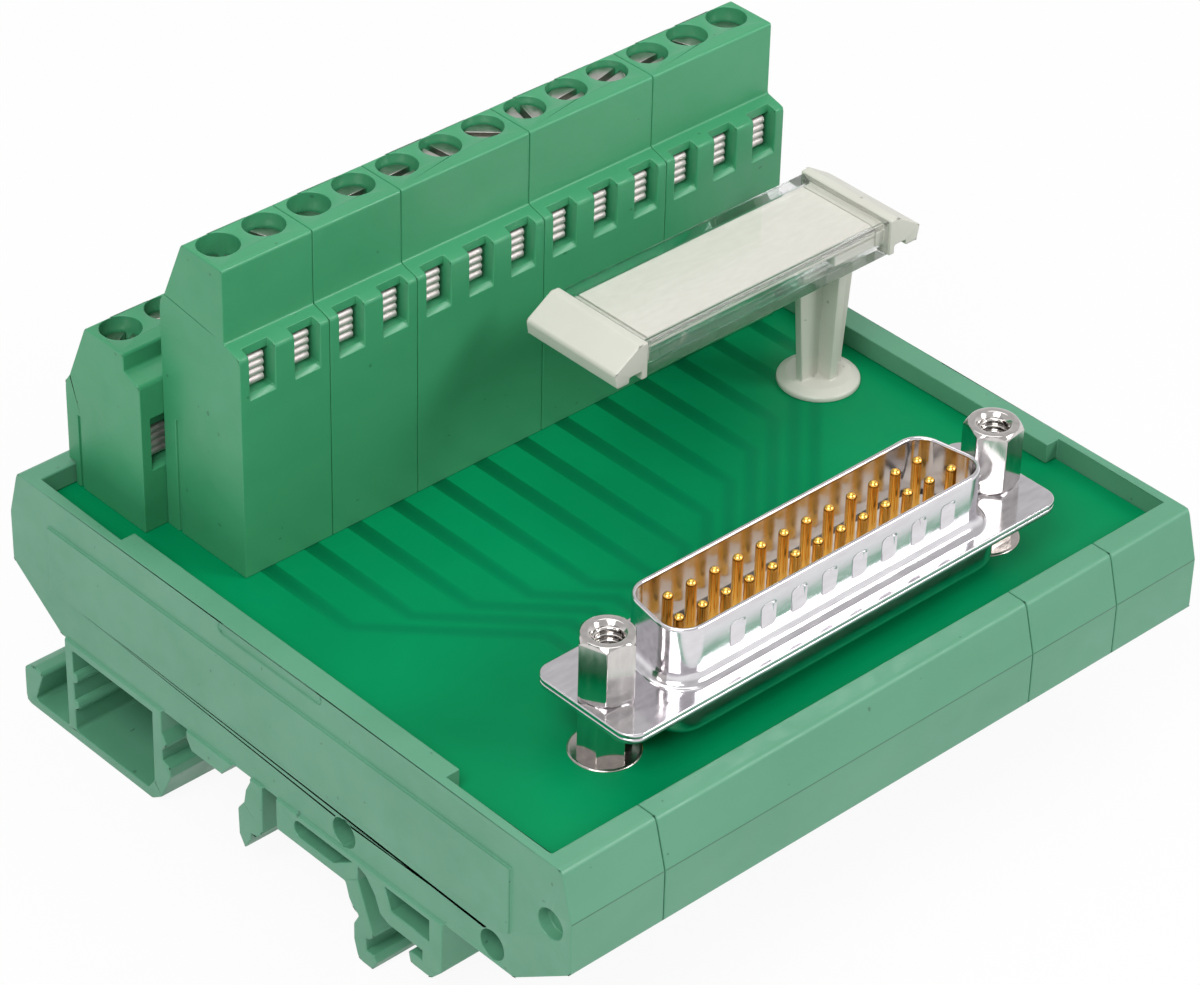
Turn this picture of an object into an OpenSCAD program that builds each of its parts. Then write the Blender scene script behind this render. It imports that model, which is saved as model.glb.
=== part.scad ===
// Interface module for a 35 mm rail: a 25-way pin connector on a circuit board,
// wired to two stepped rows of screw terminals, in a four-piece moulded housing.
// X runs along the rail, Y across it towards the terminals, Z is up.
// The origin is on the ground, under the middle of the housing.

/* [Housing] */
// Width of each end element along the rail
end_w = 10.9; // [9.5:0.1:14]
// Width of the wide middle element
wide_w = 45; // [44:0.5:60]
// Width of the narrow middle element
narrow_w = 11.1; // [9.5:0.1:14]
// Depth of the housing across the rail
depth = 77; // [76:0.5:84]
// Height of the foot below the tray
foot_h = 11.2; // [11.2:0.1:14]
// Height of the tray from its floor to its rim
tray_h = 15.4; // [15:0.1:18]
// How far the rim leans in from the widest part of the wall
rim_lean = 1.35; // [0.8:0.05:1.8]
// Height from the fold in the wall up to the rim
fold_drop = 5; // [4.6:0.1:6]
// Width of the rim's flat top
rim_t = 2.3; // [1.8:0.1:2.6]
// Thickness of the tray's floor
floor_t = 1.6; // [1.2:0.1:2]
// Thickness of the tray's side walls
side_t = 1.8; // [1.4:0.1:2]
// Height of the bevel under the tray
bevel_h = 4.9; // [4:0.1:5.5]
// Width of the bevel under the tray
bevel_w = 7; // [6:0.1:8]
// Thickness of the end walls above the board
end_t = 1.2; // [1:0.1:1.6]
// Thickness of the end walls where they lap over the board
lap_t = 2.7; // [2.2:0.1:3.2]
// Length of the lap over the board
lap_l = 44.4; // [30:0.2:50]
// Diameter of the joining holes in the end faces
joint_d = 3; // [2.6:0.1:3.2]
// Gap between one element and the next
seam = 0.1; // [0.04:0.02:0.2]

/* [Foot] */
// Width of the mounting rail
rail_w = 35; // [34.5:0.1:36]
// Sheet thickness that the foot's notches take
rail_t = 1; // [0.8:0.1:1.1]
// Free play of the rail between the notches
rail_play = 1.3; // [1:0.1:1.6]
// Distance of the rail's middle from the housing's middle
rail_y = -1.75; // [-3:0.05:0]

/* [Board] */
// Thickness of the circuit board
board_t = 1.6; // [1.2:0.1:2]
// Depth of the board's top below the rim
board_drop = 2.2; // [2:0.1:3]
// Clearance of the board in its grooves
board_gap = 0.1; // [0.05:0.05:0.3]

/* [Terminals] */
// Pitch of the poles
pitch = 5.08; // [5:0.01:5.2]
// Poles in the short blocks, then in the long blocks
block_poles = [2, 2, 3, 3, 3];
// Height of the upper row above the board
upper_h = 31.65; // [29:0.05:36]
// Height of the lower row above the board
lower_h = 18.4; // [17:0.1:21]
// Depth of a terminal block at the board
block_d = 11.2; // [10.8:0.1:12]
// Distance of the upper row's front face from the rim behind it
row_in = 21.75; // [21.5:0.05:24]
// Middle of the upper row along the rail
row_x = 1.76; // [0:0.02:3]
// Diameter of the screw wells
well_d = 3.9; // [3.7:0.1:4.1]
// Diameter of the clamp screws' heads
head_d = 3.6; // [3.2:0.1:3.7]
// Width of the windows in the front shoulder
window_w = 2.9; // [2.2:0.1:3.2]
// Height of the windows in the front shoulder
window_h = 5.2; // [4.4:0.1:5.4]
// Side of the square wire entries
entry_w = 3.6; // [3:0.1:3.8]

/* [Connector] */
// Distance from the plug shell's ends to the axes of the two screws
lock_out = 4.04; // [3.9:0.02:5]
// Distance from the plug shell's ends to the flange's ends
flange_out = 7.04; // [6.9:0.02:8]
// Width of the connector's flange
flange_w = 12.55; // [12:0.05:13]
// Sheet thickness of each shell
sheet_t = 0.5; // [0.4:0.05:0.6]
// Outer length of the plug shell
shell_l = 38.96; // [38.6:0.02:39.4]
// Outer width of the plug shell
shell_w = 8.36; // [8.1:0.02:8.6]
// Height of the flange's top above the board
flange_z = 6.2; // [5.5:0.1:8]
// Height of the plug shell above the flange
shell_h = 5.8; // [5.4:0.1:6.6]
// Distance from the plug shell's ends to the outer contacts
pin_inset = 2.86; // [2.6:0.02:3]
// Distance between the two rows of contacts
pin_rows = 2.84; // [2.6:0.02:3]
// Diameter of the contact pins
pin_d = 1; // [0.9:0.05:1.05]
// Contacts in the front row; the back row has one less
pin_n = 13; // [9:1:13]
// Width of the screwlocks across their flats
hex_w = 4.8; // [4.4:0.1:5]
// Width of the spacers across their flats
spacer_w = 4.3; // [4:0.1:5]
// Height of the screwlocks above the flange
lock_h = 6.4; // [5.8:0.1:7]
// Diameter of the threaded hole in the screwlocks
lock_hole_d = 2.6; // [2.3:0.1:2.9]
// Diameter of the screwlocks' threaded stubs
stub_d = 2.8; // [2.6:0.1:2.9]
// Height of the rear shell below the flange
rear_h = 3.3; // [2:0.1:4]
// Distance of the connector's middle from the rim in front of it
connector_in = 9.15; // [8.5:0.05:12]
// Distance of the connector's middle from the housing's middle, along the rail
connector_x = 0.2; // [-3:0.1:3]

/* [Marker] */
// Length of the clear marker bar
bar_l = 30.8; // [28:0.2:34]
// Width of the clear marker bar
bar_w = 11.5; // [11:0.1:12.5]
// Height of the clear marker bar
bar_h = 3.8; // [3.6:0.1:4.4]
// Height of the bar's underside above the board
bar_z = 15.8; // [14:0.1:18]
// Wall thickness of the clear bar
bar_t = 1; // [0.8:0.05:1.1]
// Reach of the sloping end caps
cap_l = 4; // [3.4:0.1:4.5]
// Thickness of the marker strip
strip_t = 0.4; // [0.3:0.05:0.5]
// Diameter of the marker post's foot
post_d = 8.1; // [7.5:0.1:9]
// Distance of the marker post from the housing's right end
post_in = 8.85; // [8:0.05:12]
// Distance of the marker post in front of the upper row
post_ahead = 10.9; // [9:0.1:13]
// Distance from the post to the bar's right end
post_inset = 2.3; // [2:0.1:4]

/* [Hidden] */
ROWS = ["upper", "lower"];
blocks = len(block_poles);
poles = 13;

// Clearances
slack = 0.05;
stub_gap = 0.08;
pin_gap = 0.03;
eps = 0.01;

// Heights
tray_z = foot_h;
rim_z = tray_z + tray_h;
fold_z = rim_z - fold_drop;
bevel_z = tray_z + bevel_h;
board_z1 = rim_z - board_drop;
board_z0 = board_z1 - board_t;
flange_z1 = board_z1 + flange_z;
flange_z0 = flange_z1 - 2 * sheet_t;

// Across the rail
half_d = depth / 2;
rim_out = half_d - rim_lean;
rim_in = rim_out - rim_t;
groove_y = rim_in + 1.2;
shelf_y = rim_in - 0.9;
shelf_t = 1.5;
floor_y = half_d - bevel_w;

// Along the rail
total_w = 2 * end_w + wide_w + narrow_w;
left_x = -total_w / 2;
wide_x = left_x + end_w;
narrow_x = wide_x + wide_w;
right_x = narrow_x + narrow_w;
board_l = total_w - 2 * (end_t + board_gap);
panel_h = 0.25;
web_t = 1.2;
under_board = 2.2;
lap_y0 = 0.5 - lap_l / 2;
panel_y0 = 7.5 - half_d;
panel_l = depth - 13.4;
panel_z0 = bevel_z - 0.2;
panel_w = 7.1;
label_y0 = -6.4;
label_l = 14.2;
label_w = 1.2;
label_deep = 0.2;

// Joining holes and pins, as places across the rail and heights
joint_at = [
    [-half_d + 2.6, fold_z - 1.5],
    [-floor_y + 2.8, tray_z + joint_d / 2 + 0.35],
    [-floor_y + 22.3, tray_z + joint_d / 2 + 0.3]];
joint_deep = [1.2, 4.6, 4.6];
joint_boss_d = joint_d + 2.4;
joint_pin_l = 3.5;

// Terminal rows
block_y = rim_in - row_in;
row_l = poles * pitch;
row_gap = 0.1;
well_y = 5.75;
shoulder_y = 2.2;
shoulder_drop = [7.6, 1.9];
shoulder_slope = 0.6;
crown_d = 5.6;
slant_w = 2.7;
slant_drop = 6.4;
slit_y = 9.2;
slit_w = 0.35;
slit_deep = 0.3;
slit_h = [12.3, 8];
chamber_w = 4.2;
chamber_y0 = 3.2;
chamber_y1 = 8.9;
chamber_h = 5;
chamber_drop = [12.6, 11.7];
recess_y = 1.1;
opening_h = 3.6;
ledge = 0.45;
entry_lift = 0.7;
funnel = 0.8;
tongue_y = 1.35;
tongue_w = 1.9;
tongue_z = 0.3;
tongue_h = 3.1;
tongue_ribs = 4;
rib_r = 0.42;
cage_gap = 0.1;
cage_t = 0.75;
tail_w = 0.8;
tail_l = 1.4;
shank_d = 2.4;
shank_in = 2.2;
head_h = 1.7;
slot_w = 0.7;
slot_h = 0.9;

// Terminal screws: how far each head lies below the block's top and how its slot is turned
upper_sink = [2.1, 1.5, 1.9, 1.3, 1.1, 0.9, 0.9, 0.8, 0.9, 0.7, 1.0, 1.3, 1.5];
upper_turn = [45, 110, 130, 0, 2, 95, 137, 74, 5, 13, 4, 110, 125];
lower_sink = [1.6, 1.4, 1.8, 1.5, 1.7, 1.4, 1.6, 1.8, 1.5, 1.4, 1.7, 1.5, 1.6];
lower_turn = [30, 150, 20, 80, 45, 10, 165, 60, 100, 25, 140, 70, 15];

// Connector
connector_at = [connector_x, connector_in - rim_in];
lock_c = shell_l + 2 * lock_out;
flange_l = shell_l + 2 * flange_out;
pin_pitch = (shell_l - 2 * pin_inset) / (pin_n - 1);
dshell_lean = 10;
rear_l = shell_l + 2.6;
rear_w = shell_w + 2.6;
rear_lip = 0.4;
insulator_top = flange_z1 - 0.3;
insulator_z0 = flange_z0 - rear_h + 0.15;
lock_chamfer = 0.45;
screw_head_d = 5;
screw_head_h = 1.6;
pin_top = flange_z1 + shell_h - 0.2;
dimples = 8;
dimple_inset = 6.6;
dimple_pitch = (shell_l - 2 * dimple_inset) / (dimples - 1);
dimple_w = 1.5;
dimple_h = 2.3;
dimple_z = 3.6;
dimple_shift = 0.6;
dimple_deep = 0.25;

// Marker
post_at = [total_w / 2 - post_in, block_y - post_ahead];
bar_z0 = board_z1 + bar_z;
bar_x1 = post_at[0] + post_inset;
bar_x0 = bar_x1 - bar_l;
strip_w = bar_w - 2 * bar_t - 0.4;
bar_slot_h = bar_h - 2 * bar_t;
bar_lip = 2.6;
neck_w = bar_w - 2 * bar_lip - 0.5;
cap_plug_l = 1;
post_disc_h = 1;

function unit(v) = v / norm(v);
function flat(p) = [p[0], p[1]];

// One corner of an outline, rounded to a radius with n chords
function corner(a, p, b, r, n) =
    r <= 0 ? [p] :
    let (u = unit(a - p), v = unit(b - p), half = acos(u * v) / 2)
    let (t = r / tan(half), c = p + unit(u + v) * r / sin(half), sweep = 180 - 2 * half)
    let (s = p + u * t - c, e = p + v * t - c)
    [for (i = [0 : n]) c + (s * sin(sweep * (1 - i / n)) + e * sin(sweep * i / n)) / sin(sweep)];

// An outline from points of two coordinates and a corner radius
function rounded(pts, n = 4) =
    let (m = len(pts))
    [for (i = [0 : m - 1])
        each corner(flat(pts[(i + m - 1) % m]), flat(pts[i]), flat(pts[(i + 1) % m]), pts[i][2], n)];

// A rectangle from the origin, with one radius on its corners
function box_outline(l, w, r) = [[0, 0, r], [l, 0, r], [l, w, r], [0, w, r]];

function mirrored(pts) = [for (i = [len(pts) - 1 : -1 : 0]) [-pts[i][0], pts[i][1], pts[i][2]]];

// A profile of Y and Z, run along X from x0
module along_x(x0, w) {
    translate([x0, 0, 0])
        rotate([90, 0, 90])
            linear_extrude(w)
                children();
}

// Half of the tray's section: floor, bevel, wall, rim, board groove and shelf
tray_half = [
    [floor_y, tray_z, 0.6],
    [half_d, bevel_z, 0.6],
    [half_d, fold_z, 0.8],
    [rim_out, rim_z, 0.7],
    [rim_in, rim_z, 0.2],
    [rim_in, board_z1 + board_gap, 0],
    [groove_y, board_z1 + board_gap, 0],
    [groove_y, board_z0 - slack, 0],
    [shelf_y, board_z0 - slack, 0],
    [shelf_y, board_z0 - slack - shelf_t, 0],
    [half_d - side_t, board_z0 - slack - shelf_t - 2, 0],
    [half_d - side_t, bevel_z + 0.8, 0.6],
    [floor_y - 0.4, tray_z + floor_t, 0.6]];

// The outside of the tray's section, filled in
tray_outside = [for (i = [0 : 3]) tray_half[i]];

module tray_section() {
    polygon(rounded(concat(tray_half, mirrored(tray_half))));
}

module tray_filled() {
    polygon(rounded(concat(tray_outside, mirrored(tray_outside))));
}

// A web under the board across the tray, at a seam
module seam_web(x0) {
    along_x(x0, web_t)
        intersection() {
            tray_filled();
            translate([-shelf_y, tray_z])
                square([2 * shelf_y, board_z0 - under_board - tray_z]);
        }
}

// Bosses for the joining holes, growing along X from the face at x0
module joint_bosses(x0, dir) {
    intersection() {
        along_x(dir > 0 ? x0 : x0 - 8, 8)
            tray_filled();
        union() {
            for (i = [0 : 2])
                translate([x0, joint_at[i][0], joint_at[i][1]])
                    rotate([0, dir * 90, 0])
                        cylinder(h = joint_deep[i] + 1, d = joint_boss_d, $fn = 32);
        }
    }
}

module joint_holes(x0, dir) {
    for (i = [0 : 2])
        translate([x0 - dir * eps, joint_at[i][0], joint_at[i][1]])
            rotate([0, dir * 90, 0])
                cylinder(h = joint_deep[i] + eps, d = joint_d, $fn = 48);
}

// Joining pins for the two deep holes of the next element
module joint_pins(x0) {
    for (i = [1 : 2])
        translate([x0 - 0.5, joint_at[i][0], joint_at[i][1]])
            rotate([0, 90, 0])
                cylinder(h = joint_pin_l + 0.5, d = joint_d - 2 * stub_gap, $fn = 32);
}

// Points of the foot in the front: places from the front notch, heights from the tray's floor
front_notch = rail_y - (rail_w + rail_play) / 2;
back_notch = rail_y + (rail_w + rail_play) / 2;
seat_h = 4.5;
notch_h = seat_h + rail_t + 0.1;
back_l = half_d - back_notch - 1;
back_wall = back_l - 6.7;

module at_front() {
    translate([front_notch, tray_z])
        children();
}

module foot_front() {
    difference() {
        polygon(rounded([
            [-2.6, 0.1, 0], [-2.6, -5.4, 0.6], [-1.2, -6.9, 0.8], [1.6, -6.9, 0.6],
            [1.8, -notch_h, 0.3], [0, -notch_h, 0], [0, -seat_h, 0], [4.4, -seat_h, 0.5],
            [5.6, -4.0, 0.6], [6.3, -2.3, 1.2], [7.5, -0.9, 0.8], [8.5, -0.5, 0], [8.5, 0.1, 0]]));
        polygon([[-0.9, -0.45], [4.9, -0.45], [4.1, -2.8], [-0.9, -2.8]]);
    }
}

// Spring beam with the latch leg and its lip for a screwdriver
module foot_latch() {
    difference() {
        polygon(rounded([
            [8.4, 0.1, 0], [8.6, -2.1, 0.8], [6.5, -7.3, 0.2], [7.1, -8.1, 0.2], [7.5, -8.1, 0],
            [7.5, -9.5, 0], [6.5, -9.5, 0.2], [6.1, -10.1, 0.2], [6.6, -foot_h, 0.5],
            [8.6, -foot_h, 0.8], [9.2, -9.2, 0.6], [9.2, -7.4, 0.6], [8.5, -6.1, 0.2],
            [9.2, -5.7, 0.2], [9.8, -4.9, 0.4], [10.3, -3.3, 0.3], [19.8, -3.3, 0.3], [19.8, 0.1, 0]]));
        polygon(rounded([[9.4, -0.5, 0], [17.3, -0.5, 0.85], [17.3, -2.3, 0.85], [12, -2.3, 0]]));
    }
}

// Fixed hook in the middle, and the small lug behind it
module foot_hook() {
    polygon(rounded([
        [21.8, 0.1, 0], [21.8, -5.2, 0.3], [22.6, -6.1, 0.3], [23.5, -6.3, 0], [23.6, -7.1, 0],
        [24.4, -8.5, 0.2], [25.2, -7.2, 0.3], [25.3, -4.3, 0.5], [24.4, -3.1, 0.5],
        [24.1, -1.5, 0.4], [23.5, -0.3, 0], [23.5, 0.1, 0]]));
    polygon([[26, 0.1], [27.5, -1.8], [31.8, -1.8], [32.6, -0.5], [32.6, 0.1]]);
}

// Back foot, measured from the back notch
module foot_back() {
    difference() {
        polygon(rounded([
            [0, 0.1, 0], [0, -2.4, 0.4], [-0.8, -3.6, 0.4], [0, -seat_h, 0], [0, -notch_h, 0],
            [-1.1, -5.9, 0.3], [-1.1, -7.0, 0.4], [0.4, -10.2, 0.8], [1.8, -foot_h, 0.8],
            [back_l, -foot_h, 0.8], [back_l, -6.9, 0.9], [back_l - 1.5, -6.3, 0.5],
            [back_l - 2.9, -6.5, 0.4], [back_l - 1.5, -10.2, 0.3], [back_wall, -10.2, 0.4],
            [back_wall, 0.1, 0]]));
        difference() {
            polygon(rounded([
                [1.3, -0.75, 0], [back_wall - 1.1, -0.75, 0.3], [back_wall - 1.1, -10.2, 0.4],
                [2.4, -10.2, 0.4], [1.4, -8.8, 0.4]]));
            for (h = [3.9, 7.1])
                translate([back_wall - 1.1, -h])
                    circle(r = 0.6, $fn = 24);
        }
    }
}

module foot(x0, w) {
    along_x(x0, w) {
        at_front() {
            foot_front();
            foot_latch();
            foot_hook();
        }
        translate([back_notch, tray_z])
            foot_back();
    }
}

// End element: tray, end wall with its panel, laps over the board, holes and foot
module end_element(x0, dir) {
    w = dir > 0 ? end_w - seam : end_w;
    outer = dir > 0 ? x0 : x0 + w;
    inner = dir > 0 ? x0 + w : x0;
    face = outer + dir * panel_h;
    difference() {
        union() {
            along_x(min(face, inner), w - panel_h)
                tray_section();
            along_x(min(face, face + dir * (end_t - panel_h)), end_t - panel_h)
                tray_filled();
            along_x(min(face, face + dir * (lap_t - panel_h)), lap_t - panel_h)
                translate([lap_y0, board_z1 + slack])
                    square([lap_l, rim_z - board_z1 - slack]);
            along_x(min(outer, outer + dir * end_t), end_t)
                translate([panel_y0, panel_z0])
                    square([panel_l, panel_w]);
            seam_web(dir > 0 ? inner - web_t : inner);
            joint_bosses(face, dir);
            if (dir < 0)
                joint_bosses(inner, 1);
            foot(x0, w);
        }
        joint_holes(face, dir);
        if (dir < 0)
            joint_holes(inner, 1);
        along_x(min(face - dir * eps, face + dir * label_deep), label_deep + eps)
            translate([label_y0, rim_z - label_w - 0.1])
                polygon(rounded(box_outline(label_l, label_w, label_w / 2 - 0.05)));
    }
    if (dir > 0)
        joint_pins(inner);
}

module base_element(x0, w) {
    difference() {
        union() {
            along_x(x0, w - seam)
                tray_section();
            seam_web(x0);
            seam_web(x0 + w - web_t - seam);
            joint_bosses(x0, 1);
        }
        joint_holes(x0, 1);
    }
    joint_pins(x0 + w);
}

// Where the poles of a row stand
function row_left(r) = row_x - row_l / 2 - r * pitch / 2;
function pole_x(r, i) = row_left(r) + (i + 0.5) * pitch;
function row_y(r) = block_y + r * (block_d + row_gap);
function row_h(r) = r == 0 ? upper_h : lower_h;
function row_top(r) = board_z1 + row_h(r);
function chamber_z0(r) = row_top(r) - chamber_drop[r];
function first_pole(k) = k == 0 ? 0 : block_poles[k - 1] + first_pole(k - 1);

module at_pins(d, rows = [0, 1]) {
    for (r = rows, i = [0 : pin_n - 1 - r])
        translate([
            connector_at[0] + (i - (pin_n - 1 - r) / 2) * pin_pitch,
            connector_at[1] + (r - 0.5) * pin_rows, 0])
            children();
}

module circuit_board() {
    color("green")
        difference() {
            translate([-board_l / 2, -groove_y + slack, board_z0])
                cube([board_l, 2 * (groove_y - slack), board_t]);
            at_pins()
                translate([0, 0, board_z0 - 1])
                    cylinder(h = board_t + 2, r = 0.45, $fn = 24);
            for (s = [-1, 1])
                translate([connector_at[0] + s * lock_c / 2, connector_at[1], board_z0 - 1])
                    cylinder(h = board_t + 2, d = stub_d + 0.4, $fn = 32);
            for (r = [0, 1], i = [0 : poles - 1])
                translate([pole_x(r, i), row_y(r) + well_y, board_z0 - 1])
                    cylinder(h = board_t + 2, r = 0.65, $fn = 24);
            translate([post_at[0], post_at[1], board_z0 - 1])
                cylinder(h = board_t + 2, d = 3.4, $fn = 32);
        }
}

// Section of a terminal block: front face, sloping shoulder, neck, crown and back slant
function block_outline(r) =
    let (t = row_top(r), s = shoulder_drop[r])
    [[0, board_z1, 0], [0, t - s - shoulder_slope, 0.5], [shoulder_y, t - s, 0.3], [shoulder_y, t, 0.35],
     [shoulder_y + crown_d, t, 0.5], [shoulder_y + crown_d + slant_w, t - slant_drop, 0.6],
     [block_d, t - slant_drop - 1, 0.4], [block_d, rim_z + 0.2, 0],
     [min(block_d, rim_in - 0.15 - row_y(r)), rim_z + 0.2, 0],
     [min(block_d, rim_in - 0.15 - row_y(r)), board_z1, 0]];

module terminal_block(r, k) {
    first = first_pole(k);
    n = block_poles[k];
    x0 = row_left(r) + first * pitch;
    y0 = row_y(r);
    cz = chamber_z0(r);
    color("mediumseagreen")
        difference() {
            along_x(x0 + 0.03, n * pitch - 0.06)
                translate([y0, 0])
                    polygon(rounded(block_outline(r), 3));
            for (i = [first : first + n - 1])
                translate([pole_x(r, i), y0, 0]) {
                    translate([0, well_y, cz + 1])
                        cylinder(h = row_h(r), d = well_d, $fn = 48);
                    translate([-chamber_w / 2, chamber_y0, cz])
                        cube([chamber_w, chamber_y1 - chamber_y0, chamber_h]);
                    translate([-window_w / 2, -1, cz + 0.2])
                        cube([window_w, recess_y + 1, window_h]);
                    translate([-window_w / 2, 0, cz + 0.2])
                        cube([window_w, chamber_y0 + eps, opening_h]);
                    along_x(-window_w / 2, window_w)
                        translate([0, cz + 0.2])
                            polygon([[-eps, eps], [ledge, eps], [-eps, -ledge]]);
                    translate([-entry_w / 2, chamber_y1 - eps, cz + entry_lift])
                        cube([entry_w, block_d, entry_w]);
                    along_x(-entry_w / 2, entry_w)
                        translate([block_d, cz + entry_lift])
                            polygon([[-funnel, 0], [eps, -funnel],
                                [eps, entry_w + funnel], [-funnel, entry_w]]);
                    translate([-tail_w / 2 - slack, well_y - tail_w / 2 - slack, board_z1 - 1])
                        cube([tail_w + 2 * slack, tail_w + 2 * slack, cz - board_z1 + 1 + eps]);
                }
            for (x = [x0, x0 + n * pitch])
                translate([x - slit_deep, y0 + slit_y, board_z1 - 1])
                    cube([2 * slit_deep, slit_w, slit_h[r] + 1]);
        }
}

// Clamp cages with their serrated front tongues and solder tails
module clamp(r, i) {
    cz = chamber_z0(r) + cage_gap;
    w = chamber_w - 2 * cage_gap;
    d = chamber_y1 - chamber_y0 - 2 * cage_gap;
    h = chamber_h - 2 * cage_gap;
    translate([pole_x(r, i), row_y(r), 0]) {
        difference() {
            translate([-w / 2, chamber_y0 + cage_gap, cz])
                cube([w, d, h]);
            translate([-w / 2 + cage_t, chamber_y0 + cage_gap + cage_t, cz + cage_t])
                cube([w - 2 * cage_t, d, h - 2 * cage_t]);
            translate([0, well_y, cz + h / 2])
                cylinder(h = h, d = shank_d + 2 * stub_gap, $fn = 32);
        }
        translate([-tongue_w / 2, tongue_y, cz + tongue_z])
            cube([tongue_w, chamber_y0 + cage_gap - tongue_y + eps, tongue_h]);
        for (j = [0 : tongue_ribs - 1])
            translate([-tongue_w / 2, tongue_y + rib_r / 4,
                       cz + tongue_z + (j + 0.5) * tongue_h / tongue_ribs])
                rotate([0, 90, 0])
                    cylinder(h = tongue_w, r = rib_r, $fn = 16);
        translate([-tail_w / 2, well_y - tail_w / 2, board_z0 - tail_l])
            cube([tail_w, tail_w, cz - board_z0 + tail_l + eps]);
    }
}

module row_clamps(r) {
    color("silver")
        for (i = [0 : poles - 1])
            clamp(r, i);
}

// A slotted clamp screw, standing in its well down to the clamp
module clamp_screw(r, i, sink, turn) {
    top = row_top(r) - sink;
    tip = chamber_z0(r) + chamber_h - shank_in;
    color("lightgray")
        translate([pole_x(r, i), row_y(r) + well_y, 0]) {
            difference() {
                translate([0, 0, top - head_h])
                    cylinder(h = head_h, d = head_d, $fn = 48);
                translate([0, 0, top - slot_h])
                    rotate([0, 0, turn])
                        translate([-head_d, -slot_w / 2, 0])
                            cube([2 * head_d, slot_w, slot_h + 1]);
            }
            translate([0, 0, tip])
                cylinder(h = top - head_h - tip + eps, d = shank_d, $fn = 32);
        }
}

// The connector's outline: wider in front, with sides that lean in towards the back
function dee(l, w, r) =
    let (k = w / 2 * tan(dshell_lean))
    [[-l / 2, -w / 2, r], [l / 2, -w / 2, r], [l / 2 - 2 * k, w / 2, r], [-l / 2 + 2 * k, w / 2, r]];

module at_connector(z) {
    translate([connector_at[0], connector_at[1], z])
        children();
}

module dee_solid(l, w, r, h) {
    linear_extrude(h)
        polygon(rounded(dee(l, w, r), 8));
}

module flange_plate() {
    difference() {
        linear_extrude(sheet_t)
            translate([-flange_l / 2, -flange_w / 2])
                polygon(rounded(box_outline(flange_l, flange_w, 1.8), 6));
        for (s = [-1, 1])
            translate([s * lock_c / 2, 0, -1])
                cylinder(h = 3, d = stub_d + 0.3, $fn = 32);
    }
}

module connector_front_shell() {
    color("gainsboro")
        at_connector(flange_z1 - sheet_t) {
            difference() {
                union() {
                    flange_plate();
                    dee_solid(shell_l + 2, shell_w + 2, 3, sheet_t + 0.5);
                    dee_solid(shell_l + 1, shell_w + 1, 2.8, sheet_t + 0.95);
                    dee_solid(shell_l, shell_w, 2.6, sheet_t + shell_h);
                }
                translate([0, 0, -1])
                    dee_solid(shell_l - 2 * sheet_t, shell_w - 2 * sheet_t, 2.1, shell_h + 3);
                for (i = [0 : dimples - 1])
                    translate([dimple_shift + (i - (dimples - 1) / 2) * dimple_pitch,
                               -shell_w / 2 + dimple_deep, sheet_t + dimple_z])
                        rotate([90, 0, 0])
                            linear_extrude(2)
                                translate([-dimple_w / 2, -dimple_h / 2])
                                    polygon(rounded(box_outline(dimple_w, dimple_h, 0.4)));
            }
        }
}

module connector_rear_shell() {
    color("gainsboro")
        at_connector(flange_z0 - rear_h)
            difference() {
                union() {
                    translate([0, 0, rear_h])
                        flange_plate();
                    dee_solid(rear_l, rear_w, 3, rear_h + eps);
                    dee_solid(rear_l + 2 * rear_lip, rear_w + 2 * rear_lip, 3 + rear_lip, sheet_t);
                }
                translate([0, 0, -1])
                    dee_solid(rear_l - 2 * sheet_t, rear_w - 2 * sheet_t, 3 - sheet_t, rear_h + 3);
            }
}

module connector_insulator() {
    low_h = flange_z0 - insulator_z0 + sheet_t;
    color("ivory")
        difference() {
            union() {
                at_connector(insulator_z0)
                    dee_solid(shell_l + 1.5, shell_w + 1.5, 2.5, low_h - slack);
                at_connector(insulator_z0)
                    dee_solid(shell_l - 2 * sheet_t - 0.1, shell_w - 2 * sheet_t - 0.1, 2,
                        insulator_top - insulator_z0);
            }
            at_pins()
                translate([0, 0, insulator_z0 - 1])
                    cylinder(h = flange_z + shell_h, d = pin_d + 2 * pin_gap, $fn = 24);
        }
}

module contact_pins() {
    color("goldenrod")
        at_pins() {
            translate([0, 0, insulator_z0])
                cylinder(h = pin_top - pin_d / 2 - insulator_z0, d = pin_d, $fn = 24);
            translate([0, 0, pin_top - pin_d / 2])
                sphere(d = pin_d, $fn = 24);
            translate([0, 0, board_z0 - tail_l])
                cylinder(h = insulator_z0 - board_z0 + tail_l + eps, r = 0.35, $fn = 16);
        }
}

// A hexagon bar across its flats, turned about its axis
module hex_bar(h, w, turn) {
    rotate([0, 0, turn])
        cylinder(h = h, d = w / cos(30), $fn = 6);
}

module screwlock(s, turn) {
    color("gainsboro")
        at_connector(0)
            translate([s * lock_c / 2, 0, 0])
                difference() {
                    union() {
                        translate([0, 0, flange_z1])
                            intersection() {
                                hex_bar(lock_h, hex_w, turn);
                                hull() {
                                    cylinder(h = lock_h, d = hex_w * 0.97, $fn = 32);
                                    translate([0, 0, lock_chamfer])
                                        cylinder(h = lock_h - 2 * lock_chamfer,
                                            d = hex_w / cos(30), $fn = 32);
                                }
                            }
                        translate([0, 0, flange_z0 - 3])
                            cylinder(h = flange_z1 - flange_z0 + 3 + eps, d = stub_d, $fn = 32);
                    }
                    translate([0, 0, flange_z1 + lock_h - 5])
                        cylinder(h = 6, d = lock_hole_d, $fn = 48);
                    translate([0, 0, flange_z1 + lock_h - 0.4])
                        cylinder(h = 0.4 + eps, d1 = lock_hole_d, d2 = lock_hole_d + 0.8, $fn = 48);
                }
}

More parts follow.
